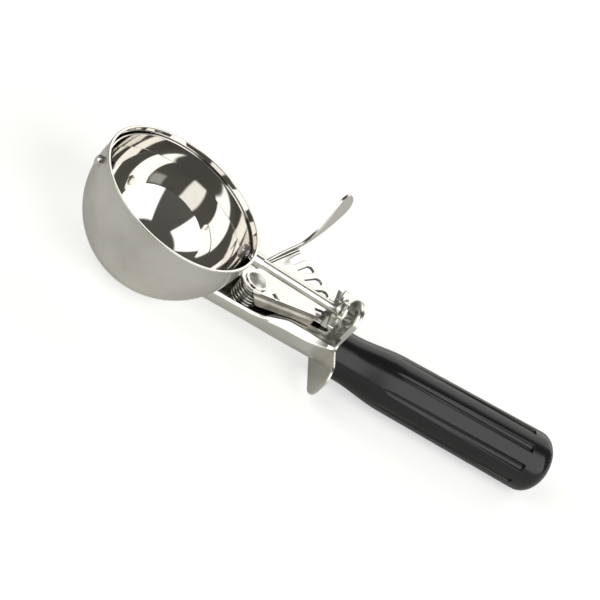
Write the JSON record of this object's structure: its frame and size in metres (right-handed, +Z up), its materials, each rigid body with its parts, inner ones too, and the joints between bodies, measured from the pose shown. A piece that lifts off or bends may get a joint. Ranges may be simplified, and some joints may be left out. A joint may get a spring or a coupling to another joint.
{
  "type": "lever ice cream scoop",
  "caption": "Stainless ice cream scoop with a round bowl, a scraper blade driven by a thumb lever and pinion, and a black fluted handle.",
  "frame": {"origin": "centre of the bounding box at its bottom, on the table that the bowl and the handle rest on", "axes": "+X along the handle, from the bowl to the butt; +Z up, out of the bowl's mouth; +Y to the side of the thumb lever"},
  "size_m": [0.231, 0.096, 0.0445],
  "materials": {
    "polished_stainless": "polished inside, satin outside",
    "satin_stainless": "satin",
    "dark_steel": "semi-gloss",
    "black_handle": "satin gloss"
  },
  "bodies": {
    "frame": {"bowl": "polished_stainless", "far_pin": "polished_stainless", "front_rod_bush": "satin_stainless", "rear_rod_bush": "satin_stainless", "shank": "satin_stainless", "guard_plate": "satin_stainless", "tang": "dark_steel", "handle": "black_handle", "pivot_post": "dark_steel", "spacer_sleeve": "satin_stainless", "lower_washer": "satin_stainless", "upper_washer": "polished_stainless", "lever_spring": "dark_steel"},
    "lever": {"thumb_lever": "polished_stainless"},
    "scraper": {"scraper_rod": "polished_stainless", "scraper_blade": "polished_stainless", "blade_collar": "dark_steel", "pinion": "dark_steel", "rod_clip": "dark_steel"}
  },
  "joints": [
    {"name": "lever_press", "type": "hinge", "parent": "frame", "child": "lever", "pos_m": [-0.03393, -0.01265, 0.0238], "axis": [0, 0, 1], "range_deg": [-40.8, 0], "stiffness_Nm_per_rad": 0.6, "springref_deg": 20.05},
    {"name": "scraper_turn", "type": "hinge", "parent": "frame", "child": "scraper", "pos_m": [-0.07893, -0.01265, 0.035], "axis": [0.9987, 0, -0.0506], "range_deg": [-180, 0]}
  ],
  "couplings": [
    {"joint": "scraper_turn", "follows": "lever_press", "ratio": 4.4118}
  ]
}
